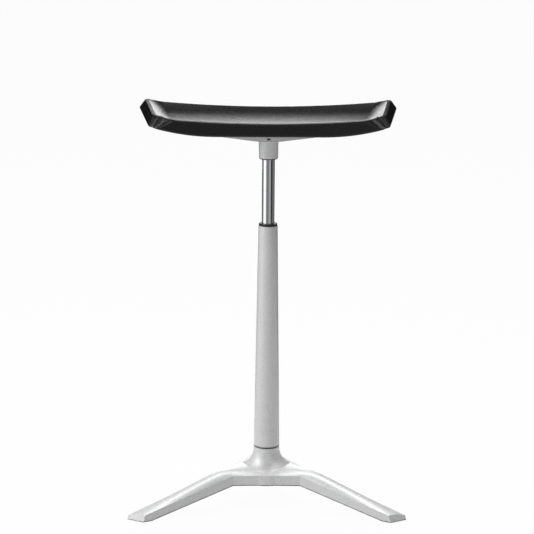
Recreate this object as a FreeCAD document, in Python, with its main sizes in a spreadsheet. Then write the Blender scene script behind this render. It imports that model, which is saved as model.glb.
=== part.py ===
import FreeCAD, Part
import math
import os
import Sketcher

# Perch stool in millimetres: origin on the column's axis at the floor, +Z up, -Y towards its front.

SIZES = [
    # cast base
    ("neck_top_z", 97.0), ("neck_dia", 45.6), ("neck_height", 2.0), ("flare_dia", 109.0),
    ("skirt_top_z", 57.5), ("hub_under_z", 39.2), ("shoulder_reach", 14.0), ("shoulder_half", 51.5),
    ("arm_root_reach", 78.5), ("arm_root_half", 17.5), ("arm_tip_reach", 250.0), ("arm_tip_half", 14.2),
    ("arm_tip_top_z", 15.2), ("foot_under_z", 2.5), ("foot_flat_length", 11.4),
    ("shoulder_z", 65.0), ("knee_reach", 97.0), ("knee_soft", 14.0), ("ridge_slope", 0.312),
    ("crown_tip", 0.8), ("arm_cut_length", 28.0), ("cut_margin", 20.0),
    ("end_front_back", 1.7), ("end_rear_past", 31.8), ("end_square_past", 18.0), ("end_lean", 18.0),
    # feet
    ("foot_boss_margin", 1.0), ("glide_inset", 8.0), ("glide_length", 13.0), ("glide_width", 17.0),
    ("glide_stem_dia", 6.0), ("glide_stem_height", 5.0), ("glide_corner", 3.0),
    # joint of the column and the base
    ("recess_dia", 36.0), ("recess_top_z", 58.0), ("bolt_dia", 12.0), ("bolt_head_dia", 18.0),
    ("bolt_head_height", 12.0), ("bolt_hex", 10.0), ("bolt_hex_depth", 6.0), ("bolt_clearance", 0.5),
    ("bolt_reach", 30.0), ("washer_dia", 24.0), ("washer_thick", 2.5), ("spigot_dia", 30.0),
    ("spigot_length", 14.0), ("gap_ring_thick", 1.4), ("gap_ring_inset", 0.9), ("plug_height", 30.0),
    # column
    ("column_top_z", 499.5), ("column_top_dia", 33.6), ("column_foot_bore", 38.0),
    ("column_foot_depth", 62.0), ("column_edge", 1.2), ("bush_dia", 28.0), ("bush_depth", 70.0),
    ("bush_flange_dia", 32.0), ("bush_flange_thick", 4.0), ("bush_edge", 1.0), ("top_bore_depth", 85.0),
    # thrust bearing and the plate that carries it
    ("seat_plate_z", 140.0), ("seat_plate_thick", 8.0), ("race_dia", 22.0), ("race_thick", 2.0),
    ("ball_dia", 3.0), ("ball_circle_dia", 16.0), ("ball_count", 10), ("ball_sunk", 0.4),
    ("ball_play", 0.05), ("cage_thick", 1.4), ("cage_width", 4.0),
    # gas spring
    ("cylinder_dia", 22.0), ("cylinder_bore", 19.2), ("cylinder_length", 330.0), ("cylinder_lip", 1.5),
    ("cylinder_lip_bore", 13.0), ("slide_play", 0.06), ("taper_top_dia", 20.6), ("taper_length", 28.0),
    ("cylinder_head", 37.0), ("taper_lead", 2.0), ("taper_chamfer", 1.0),
    ("rod_dia", 10.0), ("rod_spigot_dia", 8.0), ("rod_end_length", 14.2), ("rod_play", 0.05),
    ("rod_groove_z", 136.8), ("rod_groove_width", 1.5), ("rod_groove_dia", 6.4), ("rod_chamfer", 0.8),
    ("rod_thread_dia", 7.0), ("clip_dia", 13.0), ("clip_gap", 5.6), ("clip_washer_dia", 16.0),
    ("clip_washer_thick", 1.4), ("buffer_dia", 17.0), ("buffer_height", 22.0), ("buffer_edge", 2.5),
    ("piston_z", 400.0), ("piston_height", 10.0), ("piston_play", 0.2), ("piston_ring_width", 2.5),
    ("piston_ring_depth", 1.6), ("piston_ring_play", 0.05), ("nut_flats", 12.0), ("nut_height", 5.0),
    ("guide_height", 15.0), ("seal_height", 3.5),
    ("valve_dia", 4.8), ("valve_play", 0.05), ("valve_length", 20.0), ("valve_well", 17.2),
    ("valve_standing", 6.9),
    # seat bracket
    ("socket_under_z", 617.0), ("socket_dia", 33.2), ("socket_top_dia", 34.4), ("socket_edge", 2.5),
    ("wing_half", 116.0), ("wing_flat_half", 17.0), ("wing_under_z", 652.0), ("wing_tip_under_z", 662.2),
    ("wing_top_z", 669.6), ("wing_depth", 64.0), ("wing_tip_depth", 40.0),
    ("lever_slot_width", 14.0), ("lever_slot_floor", 654.0), ("lever_well_floor", 651.4),
    ("lever_well_half", 13.0), ("bracket_wall", 5.0), ("bracket_floor", 3.5), ("slot_wall", 6.0),
    ("peep_width", 5.6), ("peep_height", 2.8), ("peep_z", 656.2),
    ("screw_x", 90.0), ("screw_y", 11.0), ("screw_boss_dia", 15.0), ("screw_dia", 6.0),
    ("screw_head_dia", 11.0), ("screw_head_height", 3.3), ("screw_sink", 3.9), ("screw_play", 0.4),
    ("screw_hex", 4.0), ("screw_hex_depth", 2.0), ("screw_reach", 6.0),
    # release lever
    ("pivot_y", 22.0), ("pivot_z", 661.0), ("pivot_dia", 5.0), ("pivot_play", 0.05),
    ("lever_width", 12.0), ("lever_thick", 3.0), ("lever_gap", 0.3), ("lever_nose_y", -7.0),
    ("lever_eye", 10.4), ("lever_bend_y", 60.0), ("lever_drop", 5.0), ("lever_drop_run", 12.0),
    ("lever_end_y", 100.0), ("grip_width", 34.0), ("grip_length", 26.0), ("grip_thick", 8.0),
    ("grip_overhang", 5.0), ("grip_corner", 6.0),
    # seat
    ("seat_under_z", 669.6), ("seat_depth", 184.0), ("seat_under_flat", 90.0),
    ("seat_bend_radius", 390.0), ("seat_edge_half", 216.2), ("seat_edge_taper", 0.142),
    ("seat_edge_z", 688.0), ("seat_edge_rise", 0.03), ("seat_top_half", 206.7),
    ("seat_top_taper", 0.125), ("seat_corner_draw", 11.0), ("seat_top_z", 705.0),
    ("seat_top_rise", 0.025), ("seat_middle_z", 693.7), ("seat_middle_rise", 0.012),
    ("rim_width", 7.0), ("seat_round", 4.0), ("crease_half", 170.0), ("crease_taper", 0.2),
    ("crease_z", 700.5), ("dish_depth", 8.5), ("wing_dish_depth", 11.0), ("seat_turn_run", 16.0),
    ("plate_width", 230.0), ("plate_depth", 120.0), ("plate_thick", 2.5), ("plate_z", 673.4),
    ("insert_dia", 11.0), ("plate_corner", 12.0),
]

doc = FreeCAD.newDocument("perch_stool")
sheet = doc.addObject("Spreadsheet::Sheet", "dims")


class Length:
    """A number together with the expression that ties it to the sheet."""

    def __init__(self, number, text):
        self.number = float(number)
        self.text = text

    def __add__(self, other):
        return Length(self.number + value(other), f"({self.text} + {words(other)})")

    def __radd__(self, other):
        return Length(value(other) + self.number, f"({words(other)} + {self.text})")

    def __sub__(self, other):
        return Length(self.number - value(other), f"({self.text} - {words(other)})")

    def __rsub__(self, other):
        return Length(value(other) - self.number, f"({words(other)} - {self.text})")

    def __mul__(self, other):
        return Length(self.number * value(other), f"({self.text} * {words(other)})")

    def __rmul__(self, other):
        return Length(value(other) * self.number, f"({words(other)} * {self.text})")

    def __truediv__(self, other):
        return Length(self.number / value(other), f"({self.text} / {words(other)})")

    def __neg__(self):
        return Length(-self.number, f"(0 - {self.text})")


def value(size):
    return size.number if isinstance(size, Length) else float(size)


def words(size):
    return size.text if isinstance(size, Length) else f"({float(size)!r})"


def root(size):
    return Length(math.sqrt(value(size)), f"sqrt({words(size)})")


class Sheet:
    """Gives each size of the sheet as a Length under its own name."""

    def __getattr__(self, name):
        return Length(NUMBERS[name], f"dims.{name}")


NUMBERS = dict(SIZES)
for row, (alias, number) in enumerate(SIZES, 1):
    sheet.set(f"A{row}", str(number))
    sheet.setAlias(f"A{row}", alias)
doc.recompute()
d = Sheet()


def bind(thing, path, size):
    thing.setExpression(path, words(size))


def new_body(label):
    body = doc.addObject("PartDesign::Body", label)
    body.Label = label
    return body


def plane_of(body, role):
    return [feature for feature in body.Origin.OriginFeatures if feature.Role == role][0]


def arc_between(start, end, radius):
    """Arc from start to end, with its centre to the left for a positive radius and else to the right."""
    middle = (start + end) / 2
    half = (end - start) / 2
    left = FreeCAD.Vector(-half.y, half.x, 0).normalize()
    rise = math.sqrt(max(radius * radius - half.Length ** 2, 0.0))
    centre = middle + left * math.copysign(rise, radius)
    circle = Part.Circle(centre, FreeCAD.Vector(0, 0, 1), abs(radius))
    first, last = (start, end) if radius > 0 else (end, start)
    angles = [math.atan2(point.y - centre.y, point.x - centre.x) for point in (first, last)]
    return Part.ArcOfCircle(circle, angles[0], angles[1])


def add_loop(sketch, corners, arcs):
    """Closed outline through the corners. arcs gives the radius of a segment by its number."""
    points = [FreeCAD.Vector(value(x), value(y), 0) for x, y in corners]
    count = len(points)
    first = sketch.GeometryCount
    ends = []
    for number in range(count):
        start, end = points[number], points[(number + 1) % count]
        if number in arcs:
            sketch.addGeometry(arc_between(start, end, value(arcs[number])), False)
            ends.append((1, 2) if value(arcs[number]) > 0 else (2, 1))
        else:
            sketch.addGeometry(Part.LineSegment(start, end), False)
            ends.append((1, 2))
    for number in range(count):
        after = (number + 1) % count
        sketch.addConstraint(Sketcher.Constraint(
            "Coincident", first + number, ends[number][1], first + after, ends[after][0]))
    for number, (x, y) in enumerate(corners):
        for kind, axis, size in (("DistanceX", -2, x), ("DistanceY", -1, y)):
            place = (first + number, ends[number][0])
            if not isinstance(size, Length) and size == 0:
                sketch.addConstraint(Sketcher.Constraint("PointOnObject", *place, axis))
                continue
            index = sketch.addConstraint(Sketcher.Constraint(kind, -1, 1, *place, value(size)))
            bind(sketch, f"Constraints[{index}]", size)
    for number, radius in arcs.items():
        index = sketch.addConstraint(Sketcher.Constraint("Radius", first + number, abs(value(radius))))
        bind(sketch, f"Constraints[{index}]", radius if value(radius) > 0 else -radius)


def add_circle(sketch, x, y, radius):
    centre = FreeCAD.Vector(value(x), value(y), 0)
    number = sketch.addGeometry(Part.Circle(centre, FreeCAD.Vector(0, 0, 1), value(radius)), False)
    for kind, axis, size in (("DistanceX", -2, x), ("DistanceY", -1, y)):
        if not isinstance(size, Length) and size == 0:
            sketch.addConstraint(Sketcher.Constraint("PointOnObject", number, 3, axis))
            continue
        index = sketch.addConstraint(Sketcher.Constraint(kind, -1, 1, number, 3, value(size)))
        bind(sketch, f"Constraints[{index}]", size)
    index = sketch.addConstraint(Sketcher.Constraint("Radius", number, value(radius)))
    bind(sketch, f"Constraints[{index}]", radius)


def new_sketch(body, name, role, shift=None):
    """Sketch on an origin plane of the body, moved along the plane's normal by shift."""
    sketch = body.newObject("Sketcher::SketchObject", name)
    sketch.AttachmentSupport = [(plane_of(body, role), "")]
    sketch.MapMode = "FlatFace"
    if shift is not None:
        sketch.AttachmentOffset = FreeCAD.Placement(FreeCAD.Vector(0, 0, value(shift)), FreeCAD.Rotation())
        bind(sketch, "AttachmentOffset.Base.z", shift)
    return sketch


def outline(body, name, role, corners, arcs=None, shift=None):
    sketch = new_sketch(body, name, role, shift)
    add_loop(sketch, corners, arcs or {})
    return sketch


def revolve(body, name, corners, arcs=None, kind="PartDesign::Revolution"):
    """Turned form about the Z axis, from its section to the right of the axis."""
    sketch = outline(body, name + "_section", "XZ_Plane", corners, arcs)
    feature = body.newObject(kind, name)
    feature.Profile = sketch
    feature.ReferenceAxis = (sketch, ["V_Axis"])
    feature.Angle = 360
    return feature


def turned(label, corners, arcs=None):
    body = new_body(label)
    revolve(body, label + "_turned", corners, arcs)
    return body


def pad(body, name, sketch, length, middle=False, reverse=False):
    feature = body.newObject("PartDesign::Pad", name)
    feature.Profile = sketch
    feature.Length = value(length)
    bind(feature, "Length", length)
    feature.Midplane = middle
    feature.Reversed = reverse
    return feature


def pocket(body, name, sketch, length, middle=False, reverse=False):
    feature = body.newObject("PartDesign::Pocket", name)
    feature.Profile = sketch
    feature.Length = value(length)
    bind(feature, "Length", length)
    feature.Midplane = middle
    feature.Reversed = reverse
    return feature


def loft(body, name, sections, kind="PartDesign::AdditiveLoft", ruled=True):
    feature = body.newObject(kind, name)
    feature.Profile = sections[0]
    feature.Sections = sections[1:]
    feature.Ruled = ruled
    return feature


def around(body, name, features, count):
    """Repeats features of the body evenly about the Z axis."""
    pattern = body.newObject("PartDesign::PolarPattern", name)
    pattern.Originals = features
    pattern.Axis = (plane_of(body, "Z_Axis"), [""])
    pattern.Angle = 360
    pattern.Occurrences = count
    body.Tip = pattern
    return pattern


def ring(label, inner, outer, low, high):
    return turned(label, [(inner, low), (outer, low), (outer, high), (inner, high)])


# Cast base

def arm_half(reach):
    """Half width of an arm at its crease, at a distance from the axis."""
    slope = (d.arm_root_half - d.arm_tip_half) / (d.arm_tip_reach - d.arm_root_reach)
    return d.arm_tip_half + slope * (d.arm_tip_reach - reach)


def arm_crease(reach):
    """Height of the arm's two upper edges: a straight fall from the skirt's top to the tip."""
    slope = (d.skirt_top_z - d.arm_tip_top_z) / (d.arm_tip_reach - d.arm_root_reach)
    return d.arm_tip_top_z + slope * (d.arm_tip_reach - reach)


def foot_start():
    """Distance from the axis at which an arm's underside levels out into its foot."""
    return d.arm_tip_reach - d.foot_flat_length


def arm_under(reach):
    """Height of the arm's underside: a straight fall from the hub's underside to the foot."""
    slope = (d.hub_under_z - d.foot_under_z) / (foot_start() - d.arm_root_reach)
    return d.foot_under_z + slope * (foot_start() - reach)


def arm_ridge(reach):
    """Height of the arm's top along its middle: level at the shoulder, then a soft knee and a straight fall."""
    past = reach - d.knee_reach
    return d.shoulder_z - d.ridge_slope * (past + root(past * past + d.knee_soft * d.knee_soft)) / 2


def arm_section(body, name, reach, half, under, crease, crown):
    """Section of an arm square to its run: flat below, upright sides and a crowned top."""
    radius = (half * half + crown * crown) / (2 * crown)
    corners = [(-half, under), (half, under), (half, crease), (0, crease + crown), (-half, crease)]
    return outline(body, name, "XZ_Plane", corners, {2: radius, 3: radius}, -reach)


def arm_plan(turn, along, across):
    """Point of the floor plan at a distance along an arm and to its side."""
    angle = math.radians(turn)
    return along * math.cos(angle) + across * math.sin(angle), along * math.sin(angle) - across * math.cos(angle)


def build_hub(body):
    """Round hub: a short upright neck over a flare that runs out into the arms."""
    neck = d.neck_dia / 2
    edge = d.flare_dia / 2
    flare_top = d.neck_top_z - d.neck_height
    fall = flare_top - d.skirt_top_z
    spread = edge - neck
    flare_radius = (fall * fall + spread * spread) / (2 * spread)
    revolve(body, "hub", [
        (0, d.hub_under_z), (edge, d.hub_under_z), (edge, d.skirt_top_z), (neck, flare_top),
        (neck, d.neck_top_z), (0, d.neck_top_z)], {2: -flare_radius})


# Where an arm is cut across for its loft, as shares of its fall: close together over the knee.
KNEE_SHARES = (0.0, 0.04, 0.075, 0.105, 0.135, 0.17, 0.215, 0.28, 0.4, 1.0)


def build_arms(body):
    """One arm towards the rear in three stretches: its shoulder, its fall and its foot."""
    root_reach = d.arm_root_reach
    foot = foot_start()
    shoulder = []
    for number, (reach, half) in enumerate(((d.shoulder_reach, d.shoulder_half),
                                            (root_reach, d.arm_root_half)), 1):
        shoulder.append(arm_section(body, f"shoulder_section_{number}", reach, half, d.hub_under_z,
                                    d.skirt_top_z, arm_ridge(reach) - d.skirt_top_z))
    parts = [loft(body, "arm_shoulder", shoulder)]
    fall = []
    for number, share in enumerate(KNEE_SHARES, 1):
        reach = root_reach + share * (foot - root_reach)
        crease = arm_crease(reach)
        fall.append(arm_section(body, f"arm_section_{number}", reach, arm_half(reach), arm_under(reach),
                                crease, arm_ridge(reach) - crease))
    parts.append(loft(body, "arm_fall", fall))
    ends = []
    for number, reach in enumerate((foot, d.arm_tip_reach + d.arm_cut_length), 1):
        crease = arm_crease(reach)
        crown = arm_ridge(reach) - crease if number == 1 else d.crown_tip
        ends.append(arm_section(body, f"foot_section_{number}", reach, arm_half(reach), d.foot_under_z,
                                crease, crown))
    parts.append(loft(body, "arm_foot", ends))
    half = d.glide_width / 2 + d.foot_boss_margin
    near = glide_reach() - d.glide_length / 2 - d.foot_boss_margin
    plan = outline(body, "boss_outline", "XY_Plane", rectangle(-half, half, near, foot + d.foot_boss_margin),
                   None, d.foot_under_z)
    parts.append(pad(body, "foot_boss", plan, arm_under(near) - d.foot_under_z + d.foot_boss_margin))
    around(body, "arms", parts, 3)


def cut_arm_ends(body):
    """Front arms are cut aslant and mirror each other, the rear one is cut square. All lean out at the floor."""
    wide = 2 * d.arm_tip_half
    far = d.arm_tip_reach + d.arm_cut_length + d.cut_margin
    skews = {"rear": (90, d.end_square_past, d.end_square_past),
             "left": (210, -d.end_front_back, d.end_rear_past),
             "right": (330, d.end_rear_past, -d.end_front_back)}
    for name, (turn, past_left, past_right) in skews.items():
        corners = [arm_plan(turn, d.arm_tip_reach + past_left, -wide), arm_plan(turn, far, -wide),
                   arm_plan(turn, far, wide), arm_plan(turn, d.arm_tip_reach + past_right, wide)]
        plan = outline(body, f"end_outline_{name}", "XY_Plane", corners)
        end = pocket(body, f"end_{name}", plan, d.shoulder_z, reverse=True)
        end.TaperAngle = value(d.end_lean)
        bind(end, "TaperAngle", d.end_lean)


def build_base():
    body = new_body("base_casting")
    build_hub(body)
    build_arms(body)
    cut_arm_ends(body)
    hidden = d.foot_under_z
    bolt_way = d.bolt_dia / 2 + d.bolt_clearance
    spigot_low = d.neck_top_z - d.spigot_length
    high = d.neck_top_z + d.neck_height
    revolve(body, "bolt_way", [
        (0, hidden), (d.recess_dia / 2, hidden), (d.recess_dia / 2, d.recess_top_z),
        (bolt_way, d.recess_top_z), (bolt_way, spigot_low), (d.spigot_dia / 2, spigot_low),
        (d.spigot_dia / 2, high), (0, high)], None, "PartDesign::Groove")
    hole = new_sketch(body, "stem_circle", "XY_Plane")
    add_circle(hole, 0, glide_reach(), d.glide_stem_dia / 2)
    stem = pocket(body, "stem_hole", hole, d.foot_under_z + d.glide_stem_height, reverse=True)
    around(body, "stem_holes", [stem], 3)
    return body


def glide_reach():
    return d.arm_tip_reach - d.glide_inset


def build_glides():
    turns = {"rear": 0, "left": 120, "right": 240}
    for place, turn in turns.items():
        body = new_body(f"glide_{place}")
        long_half = d.glide_length / 2
        wide_half = d.glide_width / 2
        cut = d.glide_corner
        near, far = glide_reach() - long_half, glide_reach() + long_half
        plan = outline(body, "pad_outline", "XY_Plane", [
            (-wide_half + cut, near), (wide_half - cut, near), (wide_half, near + cut), (wide_half, far - cut),
            (wide_half - cut, far), (-wide_half + cut, far), (-wide_half, far - cut),
            (-wide_half, near + cut)], {1: cut, 3: cut, 5: cut, 7: cut})
        pad(body, "glide_pad", plan, d.foot_under_z)
        circle = new_sketch(body, "stem_circle", "XY_Plane")
        add_circle(circle, 0, glide_reach(), d.glide_stem_dia / 2)
        pad(body, "glide_stem", circle, d.foot_under_z + d.glide_stem_height)
        body.Placement = FreeCAD.Placement(
            FreeCAD.Vector(), FreeCAD.Rotation(FreeCAD.Vector(0, 0, 1), turn))


# Joint of column and base

def hex_socket(body, name, across_flats, depth, z, upward):
    """Six-sided recess about the Z axis, cut from the level z."""
    radius = across_flats / math.sqrt(3)
    corners = [(radius * math.cos(math.radians(60 * number + 30)),
                radius * math.sin(math.radians(60 * number + 30))) for number in range(6)]
    plan = outline(body, name + "_outline", "XY_Plane", corners, None, z)
    return pocket(body, name, plan, depth, reverse=upward)


def build_column_joint():
    washer_low = d.recess_top_z - d.washer_thick
    ring("tie_washer", d.bolt_dia / 2 + d.bolt_clearance, d.washer_dia / 2, washer_low, d.recess_top_z)
    head_low = washer_low - d.bolt_head_height
    spigot_low = d.neck_top_z - d.spigot_length
    bolt = turned("tie_bolt", [
        (0, head_low), (d.bolt_head_dia / 2 - 1.0, head_low), (d.bolt_head_dia / 2, head_low + 1.0),
        (d.bolt_head_dia / 2, washer_low), (d.bolt_dia / 2, washer_low),
        (d.bolt_dia / 2, spigot_low + d.bolt_reach - 1.0),
        (d.bolt_dia / 2 - 1.0, spigot_low + d.bolt_reach), (0, spigot_low + d.bolt_reach)])
    hex_socket(bolt, "bolt_socket", d.bolt_hex, d.bolt_hex_depth, head_low, True)
    column_low = d.neck_top_z + d.gap_ring_thick
    ring("spacer_ring", d.spigot_dia / 2, d.neck_dia / 2 - d.gap_ring_inset, d.neck_top_z, column_low)
    bore = d.column_foot_bore / 2
    turned("foot_plug", [
        (d.bolt_dia / 2, spigot_low), (d.spigot_dia / 2 - 1.0, spigot_low),
        (d.spigot_dia / 2, spigot_low + 1.0), (d.spigot_dia / 2, column_low), (bore, column_low),
        (bore, column_low + d.plug_height), (d.bolt_dia / 2, column_low + d.plug_height)])


def build_column():
    low = d.neck_top_z + d.gap_ring_thick
    foot = d.neck_dia / 2
    top = d.column_top_dia / 2
    bush = d.bush_dia / 2
    edge = d.column_edge
    lean = (foot - top) / (d.column_top_z - low)
    turned("column_tube", [
        (d.column_foot_bore / 2, low), (foot, low), (top + lean * edge, d.column_top_z - edge),
        (top - edge, d.column_top_z), (bush, d.column_top_z),
        (bush, d.column_top_z - d.top_bore_depth),
        (d.column_foot_bore / 2, low + d.column_foot_depth)], {2: edge})
    flange = d.bush_flange_dia / 2
    sleeve = d.cylinder_dia / 2 + d.slide_play
    high = d.column_top_z + d.bush_flange_thick
    turned("guide_bush", [
        (sleeve, d.column_top_z - d.bush_depth), (bush, d.column_top_z - d.bush_depth),
        (bush, d.column_top_z), (flange, d.column_top_z), (flange, high - d.bush_edge),
        (flange - d.bush_edge, high), (sleeve, high)], {4: d.bush_edge})


# Thrust bearing

def race(label, inner, low, groove_up):
    """Flat ring with a shallow ball groove in its upper or lower face."""
    outer = d.race_dia / 2
    high = low + d.race_thick
    circle = d.ball_circle_dia / 2
    groove = d.ball_dia / 2 + d.ball_play
    lift = d.ball_dia / 2 - d.ball_sunk
    half = root(groove * groove - lift * lift)
    if groove_up:
        return turned(label, [
            (inner, low), (outer, low), (outer, high), (circle + half, high), (circle - half, high),
            (inner, high)], {3: -groove})
    return turned(label, [
        (inner, low), (circle - half, low), (circle + half, low), (outer, low), (outer, high),
        (inner, high)], {1: -groove})


def build_bearing():
    plate_top = d.seat_plate_z + d.seat_plate_thick
    ring("rod_seat_plate", d.rod_spigot_dia / 2 + d.rod_play, d.column_foot_bore / 2, d.seat_plate_z, plate_top)
    race("lower_race", d.rod_spigot_dia / 2 + 0.5, plate_top, True)
    lift = d.ball_dia / 2 - d.ball_sunk
    ball_z = plate_top + d.race_thick + lift
    balls = doc.addObject("Part::Compound", "bearing_balls")
    balls.Label = "bearing_balls"
    holes = []
    copies = []
    for number in range(int(NUMBERS["ball_count"])):
        turn = f"{number} * 360 / dims.ball_count"
        for name, group, radius in (("ball", copies, d.ball_dia / 2),
                                    ("ball_pocket", holes, d.ball_dia / 2 + d.ball_play)):
            sphere = doc.addObject("Part::Sphere", f"{name}_{number + 1}")
            bind(sphere, "Radius", radius)
            sphere.setExpression("Placement.Base.x", f"dims.ball_circle_dia / 2 * cos({turn})")
            sphere.setExpression("Placement.Base.y", f"dims.ball_circle_dia / 2 * sin({turn})")
            bind(sphere, "Placement.Base.z", ball_z)
            group.append(sphere)
    balls.Links = copies
    inner = d.ball_circle_dia / 2 - d.cage_width / 2
    band = ring("cage_band", inner, inner + d.cage_width, ball_z - d.cage_thick / 2, ball_z + d.cage_thick / 2)
    pockets = doc.addObject("Part::MultiFuse", "cage_pockets")
    pockets.Shapes = holes
    cage = doc.addObject("Part::Cut", "bearing_cage")
    cage.Label = "bearing_cage"
    cage.Base = band
    cage.Tool = pockets
    race("upper_race", d.rod_spigot_dia / 2 + d.rod_play, ball_z + lift, False)
    return ball_z + lift + d.race_thick


# Gas spring

def build_rod(shoulder):
    spigot = d.rod_spigot_dia / 2
    groove = d.rod_groove_dia / 2
    low = shoulder - d.race_thick - 2 * (d.ball_dia / 2 - d.ball_sunk) - d.race_thick \
        - d.seat_plate_thick - (d.rod_end_length - d.seat_plate_thick)
    high = d.piston_z + d.piston_height + d.nut_height + 1.0
    turned("piston_rod", [
        (0, low), (spigot - d.rod_chamfer, low), (spigot, low + d.rod_chamfer), (spigot, d.rod_groove_z),
        (groove, d.rod_groove_z), (groove, d.rod_groove_z + d.rod_groove_width),
        (spigot, d.rod_groove_z + d.rod_groove_width), (spigot, shoulder), (d.rod_dia / 2, shoulder),
        (d.rod_dia / 2, d.piston_z), (d.rod_thread_dia / 2, d.piston_z),
        (d.rod_thread_dia / 2, high - d.rod_chamfer), (d.rod_thread_dia / 2 - d.rod_chamfer, high), (0, high)])
    clip_top = d.rod_groove_z + d.rod_groove_width
    clip = ring("retaining_clip", groove, d.clip_dia / 2, d.rod_groove_z, clip_top)
    mouth = outline(clip, "clip_mouth", "XY_Plane", [
        (-d.clip_gap / 2, 0), (d.clip_gap / 2, 0), (d.clip_gap / 2, -d.clip_dia), (-d.clip_gap / 2, -d.clip_dia)],
        None, clip_top)
    pocket(clip, "clip_opening", mouth, 2 * d.rod_groove_width)
    ring("clip_washer", spigot + d.rod_play, d.clip_washer_dia / 2, clip_top, clip_top + d.clip_washer_thick)
    buffer_high = shoulder + d.buffer_height
    edge = d.buffer_edge
    outer = d.buffer_dia / 2
    turned("rubber_buffer", [
        (d.rod_dia / 2, shoulder), (outer - edge, shoulder), (outer, shoulder + edge),
        (outer, buffer_high - edge), (outer - edge, buffer_high), (d.rod_dia / 2, buffer_high)],
        {1: edge, 3: edge})


def build_piston():
    outer = d.cylinder_bore / 2 - d.piston_play
    deep = outer - d.piston_ring_depth
    middle = d.piston_z + d.piston_height / 2
    half = d.piston_ring_width / 2
    turned("piston", [
        (d.rod_thread_dia / 2, d.piston_z), (outer, d.piston_z), (outer, middle - half), (deep, middle - half),
        (deep, middle + half), (outer, middle + half), (outer, d.piston_z + d.piston_height),
        (d.rod_thread_dia / 2, d.piston_z + d.piston_height)])
    ring("piston_ring", deep, d.cylinder_bore / 2 - d.piston_ring_play, middle - half, middle + half)
    nut = new_body("piston_nut")
    radius = d.nut_flats / math.sqrt(3)
    low = d.piston_z + d.piston_height
    plan = outline(nut, "nut_outline", "XY_Plane", [
        (radius * math.cos(math.radians(60 * number + 30)), radius * math.sin(math.radians(60 * number + 30)))
        for number in range(6)], None, low)
    add_circle(plan, 0, 0, d.rod_thread_dia / 2)
    pad(nut, "nut_blank", plan, d.nut_height)


def build_cylinder():
    outer = d.cylinder_dia / 2
    bore = d.cylinder_bore / 2
    low = d.socket_under_z - d.cylinder_length
    cone_low = d.socket_under_z + d.taper_lead
    cone_high = cone_low + d.taper_length
    high = cone_high + d.taper_chamfer
    head_low = high - d.cylinder_head
    well = d.valve_dia / 2 + d.valve_play
    turned("gas_cylinder", [
        (d.cylinder_lip_bore / 2, low), (outer - 1.5, low), (outer, low + 1.5), (outer, cone_low),
        (d.taper_top_dia / 2, cone_high), (d.taper_top_dia / 2 - d.taper_chamfer, high), (well, high),
        (well, high - d.valve_well), (0, high - d.valve_well), (0, head_low), (bore, head_low),
        (bore, low + d.cylinder_lip), (d.cylinder_lip_bore / 2, low + d.cylinder_lip)], {1: 1.5})
    guide_low = low + d.cylinder_lip
    guide_high = guide_low + d.guide_height
    ring("rod_guide", d.rod_dia / 2 + d.rod_play, bore, guide_low, guide_high)
    ring("rod_seal", d.rod_dia / 2 + d.rod_play, bore, guide_high, guide_high + d.seal_height)
    pin_top = high + d.valve_standing
    radius = d.valve_dia / 2
    turned("valve_pin", [
        (0, pin_top - d.valve_length), (radius, pin_top - d.valve_length), (radius, pin_top - 1.0),
        (radius - 1.0, pin_top), (0, pin_top)], {2: 1.0})
    return high, pin_top


# Seat bracket

def wing_section(body, name, x, half_depth, under):
    corners = [(-half_depth, under), (half_depth, under), (half_depth, d.wing_top_z), (-half_depth, d.wing_top_z)]
    return outline(body, name, "YZ_Plane", corners, None, x)


def rectangle(left, right, near, far):
    return [(left, near), (right, near), (right, far), (left, far)]


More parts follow.
